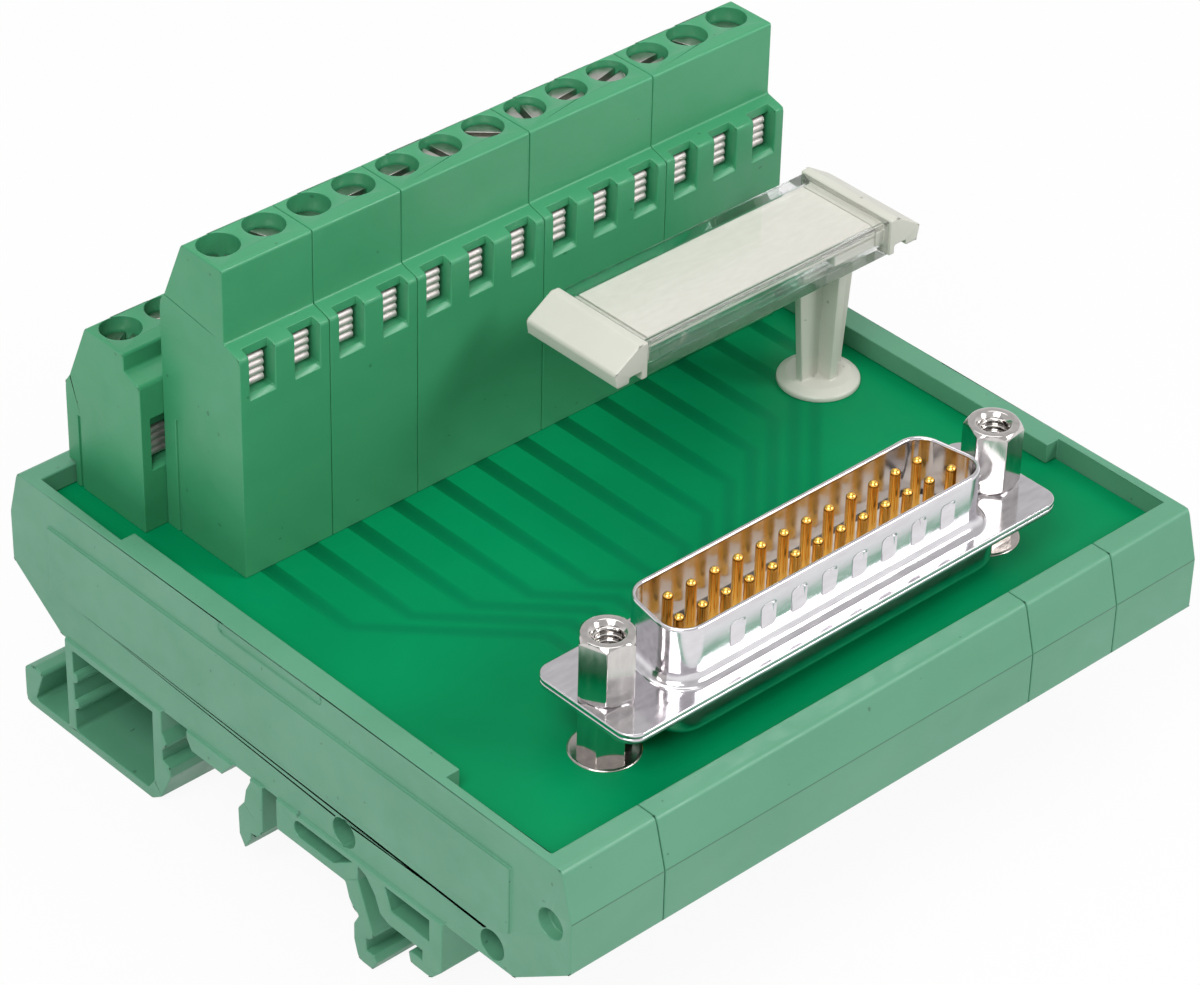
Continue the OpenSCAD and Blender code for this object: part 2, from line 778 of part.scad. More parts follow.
module spacer(s, turn) {
    color("gainsboro")
        at_connector(board_z1)
            translate([s * lock_c / 2, 0, 0])
                difference() {
                    hex_bar(flange_z0 - board_z1, spacer_w, turn);
                    translate([0, 0, -1])
                        cylinder(h = flange_z + 2, d = stub_d + 0.16, $fn = 32);
                }
}

module spacer_screws() {
    color("silver")
        for (s = [-1, 1])
            at_connector(board_z0)
                translate([s * lock_c / 2, 0, 0]) {
                    difference() {
                        translate([0, 0, -screw_head_h])
                            cylinder(h = screw_head_h, d = screw_head_d, $fn = 32);
                        translate([-screw_head_d, -slot_w / 2, -screw_head_h - 1])
                            cube([2 * screw_head_d, slot_w, 1 + screw_head_h / 2]);
                    }
                    translate([0, 0, -eps])
                        cylinder(h = board_t + 1.9, d = stub_d, $fn = 32);
                }
}

// Post: snap peg, round foot and a cross-shaped column that widens upwards
module marker_post() {
    neck_x0 = -4;
    neck_l = post_inset - cap_plug_l - 0.1 - neck_x0;
    color("whitesmoke")
        translate([post_at[0], post_at[1], board_z1]) {
            rotate_extrude($fn = 48)
                polygon(rounded([[0, 0, 0], [post_d / 2, 0, 0], [post_d / 2, 0.5, 0.3],
                    [post_d / 2 - 0.9, post_disc_h, 0.5], [0, post_disc_h + 0.2, 0]], 3));
            translate([0, 0, -board_t - 1.6])
                cylinder(h = board_t + 1.7, d = 3.2, $fn = 32);
            translate([0, 0.4, 0])
                rotate([90, 0, 0])
                    linear_extrude(0.8)
                        polygon([[-2.6, 0.8], [2.6, 0.8], [3.9, bar_z], [-3.9, bar_z]]);
            along_x(-0.5, 1)
                polygon([[-2, 0.8], [2, 0.8], [2.5, bar_z], [-2.5, bar_z]]);
            translate([neck_x0, -neck_w / 2, bar_z - eps])
                cube([neck_l, neck_w, bar_t + 0.1 + 2 * eps]);
            translate([neck_x0, -strip_w / 2, bar_z + bar_t + 0.1])
                cube([neck_l, strip_w, bar_slot_h - strip_t - 0.4]);
        }
}

// Clear bar: a channel, open below between two lips
module bar_section() {
    difference() {
        translate([-bar_w / 2, 0])
            polygon(rounded(box_outline(bar_w, bar_h, 0.35), 3));
        translate([-bar_w / 2 + bar_t, bar_t])
            square([bar_w - 2 * bar_t, bar_slot_h]);
        translate([-bar_w / 2 + bar_lip, -1])
            square([bar_w - 2 * bar_lip, bar_t + 1 + eps]);
    }
}

module marker_cover() {
    color("lightcyan", 0.4)
        along_x(bar_x0, bar_l)
            translate([post_at[1], bar_z0])
                bar_section();
}

module marker_strip() {
    color("linen")
        translate([bar_x0 + 1.2, post_at[1] - strip_w / 2, bar_z0 + bar_t + bar_slot_h - strip_t - slack])
            cube([bar_l - 2.4, strip_w, strip_t]);
}

// Sloping end cap with a plug that closes the bar's channel
module marker_cap(x0, dir) {
    w = bar_w + 0.4;
    color("whitesmoke")
        translate([x0, post_at[1], bar_z0])
            mirror([dir > 0 ? 0 : 1, 0, 0]) {
                translate([0, w / 2, 0])
                    rotate([90, 0, 0])
                        linear_extrude(w)
                            polygon(rounded([
                                [0, 0.1, 0], [0, bar_h + 0.1, 0.2], [1, bar_h + 0.1, 0.5],
                                [cap_l, bar_h / 2 + 0.1, 0.5], [cap_l - 0.3, 0.4, 0.3], [2.2, 0.4, 0.2],
                                [2.2, 1.0, 0.2], [0.7, 1.0, 0.2], [0.7, 0.1, 0]], 4));
                translate([-cap_plug_l, -bar_w / 2 + bar_t + 0.1, bar_t + 0.1])
                    cube([cap_plug_l + eps, bar_w - 2 * bar_t - 0.2, bar_slot_h - 0.2]);
            }
}

green = "mediumseagreen";
color(green) end_element(left_x, 1);  // end_element_left
color(green) base_element(wide_x, wide_w);  // base_element_wide
color(green) base_element(narrow_x, narrow_w);  // base_element_narrow
color(green) end_element(right_x, -1);  // end_element_right
circuit_board();
connector_front_shell();
connector_rear_shell();
connector_insulator();
contact_pins();
screwlock(-1, 46.5);  // screwlock_left
screwlock(1, 10);  // screwlock_right
spacer(-1, 30);  // spacer_left
spacer(1, 0);  // spacer_right
spacer_screws();
row_clamps(0);  // upper_clamps
row_clamps(1);  // lower_clamps
marker_post();
marker_cover();
marker_strip();
marker_cap(bar_x0, -1);  // marker_cap_left
marker_cap(bar_x1, 1);  // marker_cap_right
for (k = [1 : blocks])
    terminal_block(0, k - 1);
for (k = [1 : blocks])
    terminal_block(1, k - 1);
for (k = [1 : poles])
    clamp_screw(0, k - 1, upper_sink[k - 1], upper_turn[k - 1]);
for (k = [1 : poles])
    clamp_screw(1, k - 1, lower_sink[k - 1], lower_turn[k - 1]);
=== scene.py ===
"""Looks of a rail-mounted interface module: a 25-way pin connector on a circuit board,
wired to two stepped rows of screw terminals, in a green moulded housing.

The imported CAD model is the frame. This script gives every node its finish and adds the
fine parts that the CAD leaves out. X runs along the rail, Y across it towards the
terminals, Z is up, all in metres.
"""

import math
import random

import bmesh
import bpy
from mathutils import Matrix, Vector


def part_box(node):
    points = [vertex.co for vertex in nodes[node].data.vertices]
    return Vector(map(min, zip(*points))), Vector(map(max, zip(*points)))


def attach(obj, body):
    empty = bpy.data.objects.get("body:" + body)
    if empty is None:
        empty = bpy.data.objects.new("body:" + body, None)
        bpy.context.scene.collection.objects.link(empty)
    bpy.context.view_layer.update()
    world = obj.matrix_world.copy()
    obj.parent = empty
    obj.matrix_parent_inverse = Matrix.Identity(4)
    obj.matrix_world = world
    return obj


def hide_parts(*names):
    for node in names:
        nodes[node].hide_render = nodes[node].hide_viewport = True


MM = 0.001
BODY = "adapter"

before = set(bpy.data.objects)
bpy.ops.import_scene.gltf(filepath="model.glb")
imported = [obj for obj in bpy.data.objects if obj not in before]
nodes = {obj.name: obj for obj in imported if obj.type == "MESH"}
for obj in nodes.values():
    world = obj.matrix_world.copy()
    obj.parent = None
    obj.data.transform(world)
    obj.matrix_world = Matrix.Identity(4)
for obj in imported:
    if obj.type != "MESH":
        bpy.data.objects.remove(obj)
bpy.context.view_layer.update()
random.seed(7)

# Camera, at the photograph's angle and distance
VIEW_AZIMUTH = -43.467
VIEW_ELEVATION = 35.664
VIEW_ROLL = 1.544
CAMERA_AT = (-0.2296, -0.2419, 0.2657)
PHOTO_WIDTH = 1200
FOCAL_PIXELS = 4490.7
SENSOR = 36

# Room, as strengths of white
ROOM_LIGHT = 0.30
ROOM_OVERHEAD = 0.62

FLOOR_GLOW = 0.93

# Connector
FLANGE_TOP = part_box("connector_rear_shell")[1].z + 0.5 * MM
SHELL_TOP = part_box("connector_front_shell")[1].z
FLANGE_LOW, FLANGE_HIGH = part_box("connector_front_shell")
CONNECTOR = Vector(((FLANGE_LOW.x + FLANGE_HIGH.x) / 2, (FLANGE_LOW.y + FLANGE_HIGH.y) / 2, 0))
SHEET = 0.5 * MM
SHELL_LENGTH = 38.96 * MM
SHELL_WIDTH = 8.36 * MM
SHELL_LEAN = math.radians(10)
LOCK_PITCH = 47.04 * MM
DIMPLES = 8
DIMPLE_PITCH = 3.68 * MM
DIMPLE_SHIFT = 0.6 * MM
DIMPLE_SIZE = (0.75 * MM, 1.15 * MM)
DIMPLE_HEIGHT = 3.1 * MM
DIMPLE_DEEP = 0.28 * MM
DIMPLE_TILT = 0.17

# Height of the fold in the housing's walls
FOLD_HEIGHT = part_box("end_element_left")[1].z - 5 * MM

# Board
BOARD_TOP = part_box("circuit_board")[1].z
POLES = 13
POLE_PITCH = 5.08 * MM
FIRST_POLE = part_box("upper_block_1")[0].x - 0.03 * MM + POLE_PITCH / 2
ROW_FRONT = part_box("upper_block_1")[0].y
PIN_PITCH = 2.77 * MM


# Node helpers


def linear(rgb):
    """A colour as it looks on screen, 0 to 255, as the linear values of a shader."""
    out = []
    for v in rgb:
        c = v / 255
        out.append(c / 12.92 if c <= 0.04045 else ((c + 0.055) / 1.055) ** 2.4)
    return (*out, 1)


def number(tree, operation, a, b):
    """A sum on two values, each a socket or a plain number."""
    made = tree.nodes.new("ShaderNodeMath")
    made.operation = operation
    for value, socket in zip((a, b), made.inputs):
        if isinstance(value, bpy.types.NodeSocket):
            tree.links.new(value, socket)
        else:
            socket.default_value = value
    return made.outputs[0]


class Shader:
    """A principled material, and the few nodes that the materials below share."""

    def __init__(self, name, **sockets):
        self.mat = bpy.data.materials.new(name)
        self.mat.use_nodes = True
        self.tree = self.mat.node_tree
        self.bsdf = self.tree.nodes["Principled BSDF"]
        for key, value in sockets.items():
            self.bsdf.inputs[key.replace("_", " ")].default_value = value
        self.coords = self.node("ShaderNodeTexCoord").outputs["Object"]

    def node(self, kind, **settings):
        made = self.tree.nodes.new(kind)
        for key, value in settings.items():
            setattr(made, key, value)
        return made

    def link(self, a, b):
        self.tree.links.new(a, b)

    def stretched(self, x, y, z):
        """The object's coordinates, scaled along each axis."""
        mapping = self.node("ShaderNodeMapping")
        mapping.inputs["Scale"].default_value = (x, y, z)
        self.link(self.coords, mapping.inputs["Vector"])
        return mapping.outputs["Vector"]

    def noise(self, size, detail=2.0, coords=None):
        """Smooth noise whose patches are about size across."""
        made = self.node("ShaderNodeTexNoise")
        made.inputs["Scale"].default_value = 1 / size
        made.inputs["Detail"].default_value = detail
        self.link(coords or self.coords, made.inputs["Vector"])
        return made.outputs["Fac"]

    def ramp(self, fac, low, high, start=0.3, end=0.7):
        made = self.node("ShaderNodeValToRGB")
        made.color_ramp.elements[0].position = start
        made.color_ramp.elements[1].position = end
        made.color_ramp.elements[0].color = low
        made.color_ramp.elements[1].color = high
        self.link(fac, made.inputs["Fac"])
        return made.outputs["Color"]

    def mix(self, fac, a, b):
        made = self.node("ShaderNodeMix", data_type="RGBA")
        for value, key in ((fac, "Factor"), (a, "A"), (b, "B")):
            socket = next(s for s in made.inputs if s.name == key and s.enabled)
            if isinstance(value, bpy.types.NodeSocket):
                self.link(value, socket)
            else:
                socket.default_value = value
        return next(s for s in made.outputs if s.enabled)

    def spread(self, fac, low, high):
        """A 0 to 1 value as a number from low to high."""
        made = self.node("ShaderNodeMapRange")
        made.inputs["From Min"].default_value = 0.3
        made.inputs["From Max"].default_value = 0.7
        made.inputs["To Min"].default_value = low
        made.inputs["To Max"].default_value = high
        self.link(fac, made.inputs["Value"])
        return made.outputs["Result"]

    def bump(self, height, strength, depth, under=None):
        made = self.node("ShaderNodeBump")
        made.inputs["Strength"].default_value = strength
        made.inputs["Distance"].default_value = depth
        self.link(height, made.inputs["Height"])
        if under:
            self.link(under, made.inputs["Normal"])
        return made.outputs["Normal"]

    def crease_shade_line(self):
        """Painted shade: a value that is above 0 on a hairline at the fold's height, on faces that look along Y,
        where the crease's shadow is painted.
        """
        tree = self.tree
        surface = self.node("ShaderNodeNewGeometry")
        place = self.node("ShaderNodeSeparateXYZ")
        self.link(surface.outputs["Position"], place.inputs[0])
        facing = self.node("ShaderNodeSeparateXYZ")
        self.link(surface.outputs["Normal"], facing.inputs[0])
        off = number(tree, "ABSOLUTE", number(tree, "SUBTRACT", place.outputs["Z"], FOLD_HEIGHT), 0)
        line = number(tree, "LESS_THAN", off, 0.06 * MM)
        front = number(tree, "GREATER_THAN", number(tree, "ABSOLUTE", facing.outputs["Y"], 0), 0.8)
        return number(tree, "MULTIPLY", number(tree, "MULTIPLY", line, front), 0.8)

    def colour(self, value):
        self.link(value, self.bsdf.inputs["Base Color"])

    def rough(self, value):
        self.link(value, self.bsdf.inputs["Roughness"])

    def normal(self, value):
        self.link(value, self.bsdf.inputs["Normal"])


# Materials


def moulded(name, dark, light, gloss=0.42, grain=0.22, shaded_crease=False):
    """Injection-moulded plastic: faint flow mottling, a fine eroded grain, satin gloss, a few
    specks, and on the housing a painted shade line along the fold of its walls, in place of the crease's shadow."""
    s = Shader(name)
    flow = s.noise(9 * MM, 3.0, s.stretched(0.45, 1, 1))
    speck = s.noise(0.5 * MM, 2.0)
    base = s.mix(s.spread(speck, 0, 0.16), s.ramp(flow, linear(dark), linear(light)), linear(light))
    # Dark tone for the random specks and for the painted crease shade.
    deep = tuple(c * 0.66 for c in dark)
    dirt = s.ramp(s.noise(0.7 * MM, 0.0), (0, 0, 0, 1), (0.6, 0.6, 0.6, 1), 0.85, 0.87)
    base = s.mix(dirt, base, linear(deep))
    # Painted shade: the fold's hairline is darkened to the dark tone, standing in for the crease's shadow.
    if shaded_crease:
        base = s.mix(s.crease_shade_line(), base, linear(deep))
    s.colour(base)
    s.rough(s.spread(s.noise(2.2 * MM, 3.0), gloss - 0.06, gloss + 0.08))
    fine = s.bump(s.noise(grain * MM, 3.0), 0.16, 0.03 * MM)
    s.normal(s.bump(s.noise(6 * MM, 1.0), 0.10, 0.12 * MM, fine))
    return s.mat


def solder_mask(name, dark, light, tracks=False):
    """Satin lacquer over laminate. On the tracks a value that rises from their edges darkens it."""
    s = Shader(name, Specular_IOR_Level=0.08)
    cloud = s.noise(14 * MM, 2.0)
    base = s.ramp(cloud, linear(dark), linear(light))
    if tracks:
        across = s.node("ShaderNodeAttribute", attribute_name="track").outputs["Fac"]
        base = s.mix(across, base, linear((0, 122, 77)))
    s.colour(base)
    s.rough(s.spread(s.noise(3 * MM, 2.0), 0.34, 0.46))
    weave = s.noise(0.45 * MM, 1.0)
    s.normal(s.bump(weave, 0.04, 0.02 * MM))
    return s.mat


def plated(name, tint, gloss, streak=(1, 1, 1), wave=0.08):
    """Bright plating: a mirror gloss with faint rolling streaks and shallow waves."""
    s = Shader(name, Metallic=1.0)
    lines = s.noise(0.8 * MM, 4.0, s.stretched(*streak))
    low = tuple(max(0, c - 14) for c in tint)
    s.colour(s.ramp(lines, linear(low), linear(tint)))
    s.rough(s.spread(lines, gloss, gloss + 0.09))
    fine = s.bump(lines, 0.04, 0.02 * MM)
    s.normal(s.bump(s.noise(3.5 * MM, 1.0), wave, 0.1 * MM, fine))
    return s.mat


def clear_plastic(name):
    s = Shader(name, Transmission_Weight=1.0, IOR=1.33, Base_Color=(1, 1, 1, 1), Alpha=0.82)
    s.rough(s.spread(s.noise(4 * MM, 2.0, s.stretched(0.2, 1, 1)), 0.0, 0.03))
    s.normal(s.bump(s.noise(8 * MM, 1.0, s.stretched(0.3, 1, 1)), 0.03, 0.05 * MM))
    return s.mat


def card(name):
    """Uncoated label stock, with short fibres."""
    s = Shader(name)
    fibres = s.noise(0.5 * MM, 3.0, s.stretched(0.35, 1, 1))
    s.colour(s.ramp(fibres, linear((216, 213, 203)), linear((224, 221, 212))))
    s.rough(s.spread(fibres, 0.62, 0.74))
    s.normal(s.bump(fibres, 0.08, 0.03 * MM))
    return s.mat


# The housing takes the painted shade line along the fold of its walls.
HOUSING = moulded("housing", (86, 148, 117), (94, 156, 125), 0.40, shaded_crease=True)
TERMINAL = moulded("terminal_housing", (58, 146, 100), (66, 154, 108), 0.36)
MARKER = moulded("marker_plastic", (206, 205, 194), (214, 213, 203), 0.40)
INSULATOR = moulded("insulator", (236, 233, 224), (243, 241, 234), 0.45)
BOARD = solder_mask("board", (0, 131, 80), (0, 139, 86))
TRACK = solder_mask("board_track", (0, 131, 80), (0, 139, 86), tracks=True)
SHELL = plated("plug_shell", (228, 225, 229), 0.10, (0.3, 1, 1), 0.05)
NICKEL = plated("nickel", (214, 210, 207), 0.08, (1, 1, 0.3), 0.04)
TIN = plated("tin", (200, 192, 188), 0.16, (1, 1, 1), 0.5)
ZINC = plated("clamp_screw", (196, 194, 188), 0.28, (1, 1, 1), 0.05)
CLAMP = plated("clamp", (216, 208, 206), 0.5, (1, 1, 0.4), 0.10)
GOLD = plated("gold_contact", (255, 202, 104), 0.09, (1, 1, 0.2), 0.03)
CLEAR = clear_plastic("marker_clear")
CARD = card("marker_label")


# Finish of the CAD nodes


def paint(obj, mat):
    obj.data.materials.clear()
    obj.data.materials.append(mat)


def soften(obj, width, segments=2, angle=32):
    """Welds the imported faces, rounds the sharp edges and evens the shading."""
    weld = obj.modifiers.new("weld", "WELD")
    weld.merge_threshold = 0.002 * MM
    bevel = obj.modifiers.new("bevel", "BEVEL")
    bevel.width = width
    bevel.segments = segments
    bevel.limit_method = "ANGLE"
    bevel.angle_limit = math.radians(angle)
    bevel.use_clamp_overlap = False
    bevel.harden_normals = False
    shade = obj.modifiers.new("shade", "WEIGHTED_NORMAL")
    shade.keep_sharp = False
    shade.weight = 80
    obj.data.shade_smooth()


def dress(names, mat, width=None, segments=2):
    for name in names:
        paint(nodes[name], mat)
        if width:
            soften(nodes[name], width, segments)


def starting(*prefixes):
    return sorted(n for n in nodes if n.startswith(prefixes))


dress(starting("end_element", "base_element"), HOUSING, 0.12 * MM)
dress(starting("upper_block", "lower_block"), TERMINAL, 0.10 * MM)
dress(["circuit_board"], BOARD)
dress(["connector_insulator"], INSULATOR)
dress(["contact_pins"], GOLD)
dress(starting("screwlock", "spacer_l", "spacer_r"), NICKEL, 0.06 * MM)
dress(["spacer_screws"], ZINC, 0.06 * MM)
dress(["upper_clamps", "lower_clamps"], CLAMP)
dress(starting("upper_screw", "lower_screw"), ZINC, 0.08 * MM)
dress(["marker_post"], MARKER, 0.10 * MM)
dress(["marker_cap_left", "marker_cap_right"], MARKER, 0.12 * MM)
dress(["marker_cover"], CLEAR, 0.06 * MM)
dress(["marker_strip"], CARD)
nodes["marker_cover"].visible_shadow = False
nodes["marker_cover"].visible_diffuse = False


# Mesh helpers


def piece(name, bm, mat):
    """An object from a bmesh, in the row frame, riding on the module's body."""
    bmesh.ops.recalc_face_normals(bm, faces=bm.faces)
    mesh = bpy.data.meshes.new(name)
    bm.to_mesh(mesh)
    bm.free()
    mesh.shade_smooth()
    obj = bpy.data.objects.new(name, mesh)
    bpy.context.scene.collection.objects.link(obj)
    paint(obj, mat)
    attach(obj, BODY)
    return obj


def loft(bm, rings, closed=True):
    """Bridges rings of equal length. A closed loft also joins its last ring to its first."""
    made = [[bm.verts.new(p) for p in ring] for ring in rings]
    count = len(made[0])
    pairs = list(zip(made, made[1:] + made[:1] if closed else made[1:]))
    for a, b in pairs:
        for i in range(count):
            j = (i + 1) % count
            bm.faces.new((a[i], a[j], b[j], b[i]))
    return made


def lathe(bm, profile, centre, steps=48):
    """Turns a profile of (radius, height) round a vertical axis. Radius 0 closes it."""
    rings = []
    for radius, height in profile:
        if radius == 0:
            rings.append([bm.verts.new((centre.x, centre.y, height))])
            continue
        ring = []
        for k in range(steps):
            a = 2 * math.pi * k / steps
            ring.append(bm.verts.new((centre.x + radius * math.cos(a), centre.y + radius * math.sin(a), height)))
        rings.append(ring)
    for a, b in zip(rings, rings[1:]):
        for k in range(steps):
            j = (k + 1) % steps
            face = [a[k % len(a)], a[j % len(a)], b[j % len(b)], b[k % len(b)]]
            bm.faces.new(list(dict.fromkeys(face)))


def arc(centre, radius, start, end, steps):
    """Points on an arc, angles in degrees."""
    return [
        (centre[0] + radius * math.cos(math.radians(start + (end - start) * k / steps)),
         centre[1] + radius * math.sin(math.radians(start + (end - start) * k / steps)))
        for k in range(steps + 1)]


# Plug shell with its dimples


def dee(length, width, radius, straight, chords):
    """Outline of the connector: a long side in front, a shorter one behind, leaning ends.
    The front side has its own number of points."""
    lean = width / 2 * math.tan(SHELL_LEAN)
    half = length / 2
    corners = [(-half, -width / 2), (half, -width / 2), (half - 2 * lean, width / 2), (-half + 2 * lean, width / 2)]
    sides = [(270, 0), (0, 90), (90, 180), (180, 270)]
    points = []
    for k, (x, y) in enumerate(corners):
        before = Vector(corners[k - 1]) - Vector((x, y))
        after = Vector(corners[(k + 1) % 4]) - Vector((x, y))
        before.normalize()
        after.normalize()
        half_angle = before.angle(after) / 2
        centre = Vector((x, y)) + (before + after).normalized() * radius / math.sin(half_angle)
        first = centre + (Vector((x, y)) + before * radius / math.tan(half_angle) - centre)
        last = centre + (Vector((x, y)) + after * radius / math.tan(half_angle) - centre)
        a0 = math.atan2(first.y - centre.y, first.x - centre.x)
        a1 = math.atan2(last.y - centre.y, last.x - centre.x)
        if a1 < a0:
            a1 += 2 * math.pi
        for n in range(chords + 1):
            a = a0 + (a1 - a0) * n / chords
            points.append((centre.x + radius * math.cos(a), centre.y + radius * math.sin(a)))
    # The front side runs from the first corner's end to the second corner's start
    turn = chords + 1
    front = [points[chords], points[turn]]
    row = [(front[0][0] + (front[1][0] - front[0][0]) * n / straight, front[0][1]) for n in range(1, straight)]
    return points[:turn] + row + points[turn:]


def smooth(t):
    t = min(1, max(0, t))
    return t * t * (3 - 2 * t)


def dimple(x, z):
    """How far the front wall is pressed in at x along it and z above the flange. Each dimple
    is deepest at its top."""
    soft = 0.15 * MM
    for k in range(DIMPLES):
        middle = DIMPLE_SHIFT + (k - (DIMPLES - 1) / 2) * DIMPLE_PITCH
        dx = abs(x - middle) - DIMPLE_SIZE[0] + 0.3 * MM
        dz = abs(z - DIMPLE_HEIGHT) - DIMPLE_SIZE[1] + 0.3 * MM
        away = math.hypot(max(dx, 0), max(dz, 0)) - 0.3 * MM
        if away < soft:
            return (DIMPLE_DEEP + DIMPLE_TILT * (z - DIMPLE_HEIGHT)) * smooth(0.5 - away / soft)
    return 0


def plug_shell():
    """Drawn shell: a curb flowing out of the flange, the wall, a rolled rim and the inside."""
    straight, chords = 300, 10
    rise = SHELL_TOP - FLANGE_TOP
    curb = 1.15 * MM
    rim = SHEET / 2
    outside = [(curb - dx, z) for dx, z in
               [(curb * math.sin(math.radians(a)), curb * (1 - math.cos(math.radians(a)))) for a in range(0, 91, 15)]]
    rows = 56
    low, high = curb, rise - rim
    outside += [(0, low + (high - low) * k / rows) for k in range(1, rows + 1)]
    outside += [(-rim + rim * math.cos(math.radians(a)), high + rim * math.sin(math.radians(a))) for a in range(30, 180, 30)]
    inside = [(-SHEET, high - (high - low) * k / rows) for k in range(rows + 1)]
    inside += [(-SHEET, -SHEET), (curb, -SHEET)]
    rings = []
    for grow, z in outside + inside:
        ring = []
        for x, y in dee(SHELL_LENGTH + 2 * grow, SHELL_WIDTH + 2 * grow, 2.6 * MM + grow, straight, chords):
            front = y < -(SHELL_WIDTH / 2 + grow) + 0.01 * MM
            push = dimple(x, z) if front and curb < z < high else 0
            ring.append(Vector((x, y + push, z)) + CONNECTOR + Vector((0, 0, FLANGE_TOP)))
        rings.append(ring)
    bm = bmesh.new()
    loft(bm, rings)
    return bm


def flange_outline(length, width, radius, steps=8):
    half_l, half_w = length / 2 - radius, width / 2 - radius
    points = []
    for (sx, sy), start in zip([(1, -1), (1, 1), (-1, 1), (-1, -1)], [270, 0, 90, 180]):
        points += arc((sx * half_l, sy * half_w), radius, start, start + 90, steps)
    return points


def flat_plate(name, outlines, bottom, thickness, edge):
    """A sheet part from its outline and the outlines of its holes, with rounded edges."""
    curve = bpy.data.curves.new(name, "CURVE")
    curve.dimensions = "2D"
    curve.fill_mode = "BOTH"
    curve.extrude = thickness / 2 - edge
    curve.bevel_depth = edge
    curve.bevel_resolution = 2
    curve.offset = -edge
    for points in outlines:
        spline = curve.splines.new("POLY")
        spline.points.add(len(points) - 1)
        for target, (x, y) in zip(spline.points, points):
            target.co = (x, y, 0, 1)
        spline.use_cyclic_u = True
    holder = bpy.data.objects.new(name, curve)
    bpy.context.scene.collection.objects.link(holder)
    bpy.context.view_layer.update()
    mesh = bpy.data.meshes.new_from_object(holder.evaluated_get(bpy.context.evaluated_depsgraph_get()))
    bpy.data.objects.remove(holder)
    mesh.transform(Matrix.Translation(CONNECTOR + Vector((0, 0, bottom + thickness / 2))))
    bm = bmesh.new()
    bm.from_mesh(mesh)
    bpy.data.meshes.remove(mesh)
    bmesh.ops.remove_doubles(bm, verts=bm.verts, dist=0.001 * MM)
    return bm


def build_front_shell():
    bm = plug_shell()
    holes = [arc((s * LOCK_PITCH / 2, 0), 1.55 * MM, 0, 345, 23) for s in (-1, 1)]
    mouth = dee(SHELL_LENGTH + 0.4 * MM, SHELL_WIDTH + 0.4 * MM, 2.8 * MM, 4, 8)
    size = FLANGE_HIGH - FLANGE_LOW
    plate = flat_plate("flange", [flange_outline(size.x, size.y, 1.8 * MM), *holes, mouth],
                       FLANGE_TOP - SHEET, SHEET, 0.12 * MM)
    sheet = bpy.data.meshes.new("flange")
    plate.to_mesh(sheet)
    plate.free()
    bm.from_mesh(sheet)
    bpy.data.meshes.remove(sheet)
    obj = piece("plug_shell", bm, SHELL)
    shade = obj.modifiers.new("shade", "WEIGHTED_NORMAL")
    shade.weight = 80
    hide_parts("connector_front_shell")


build_front_shell()


def build_rear_shell():
    """The rear shell as a drawn pan with a rounded bottom, under its own flange."""
    low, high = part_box("connector_rear_shell")
    length, width = SHELL_LENGTH + 2.6 * MM, SHELL_WIDTH + 2.6 * MM
    bend, turn = 0.85 * MM, range(0, 91, 15)
    steps = [(0, high.z - SHEET / 2 - low.z)]
    steps += [(bend * (math.cos(math.radians(a)) - 1), bend * (1 - math.sin(math.radians(a)))) for a in turn]
    steps += [(-1.3 * MM, 0), (-1.3 * MM, 0.08 * MM)]
    steps += [(-SHEET - bend * (1 - math.sin(math.radians(a))), 0.08 * MM + bend * (1 - math.cos(math.radians(a))))
              for a in (60, 90)]
    steps += [(-SHEET, high.z - SHEET / 2 - low.z)]
    rings = []
    for grow, z in steps:
        outline = dee(length + 2 * grow, width + 2 * grow, max(0.4 * MM, 3 * MM + grow), 4, 10)
        rings.append([Vector((x, y, z + low.z)) + CONNECTOR for x, y in outline])
    bm = bmesh.new()
    loft(bm, rings)
    holes = [arc((s * LOCK_PITCH / 2, 0), 1.55 * MM, 0, 345, 23) for s in (-1, 1)]
    mouth = dee(length - 0.6 * MM, width - 0.6 * MM, 2.7 * MM, 4, 8)
    size = FLANGE_HIGH - FLANGE_LOW
    plate = flat_plate("rear_flange", [flange_outline(size.x, size.y, 1.8 * MM), *holes, mouth],
                       high.z - SHEET, SHEET, 0.12 * MM)
    sheet = bpy.data.meshes.new("rear_flange")
    plate.to_mesh(sheet)
    plate.free()
    bm.from_mesh(sheet)
    bpy.data.meshes.remove(sheet)
    obj = piece("rear_pan", bm, SHELL)
    obj.modifiers.new("shade", "WEIGHTED_NORMAL").weight = 80
    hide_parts("connector_rear_shell")


build_rear_shell()


# Threads in the screwlocks


def build_thread(name, node):
    """A fine thread in a screwlock's hole: a ridge that winds down from its mouth."""
    low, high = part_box(node)
    centre = (low + high) / 2
    pitch, turns, steps = 0.64 * MM, 6, 32
    outer, inner = 1.34 * MM, 1.08 * MM
    top = high.z - 0.55 * MM
    bm = bmesh.new()
    rings = []
    for k in range(turns * steps + 1):
        a = 2 * math.pi * k / steps
        z = top - pitch * k / steps
        ring = []
        for radius, dz in ((outer, pitch * 0.42), (inner, pitch * 0.06), (inner, -pitch * 0.06), (outer, -pitch * 0.42)):
            ring.append(bm.verts.new((centre.x + radius * math.cos(a), centre.y + radius * math.sin(a), z + dz)))
        rings.append(ring)
    for a, b in zip(rings, rings[1:]):
        for i in range(4):
            j = (i + 1) % 4
            bm.faces.new((a[i], a[j], b[j], b[i]))
    bm.faces.new(rings[0])
    bm.faces.new(rings[-1])
    piece(name, bm, NICKEL)


build_thread("thread_left", "screwlock_left")
build_thread("thread_right", "screwlock_right")


# Tinned pads under the spacers


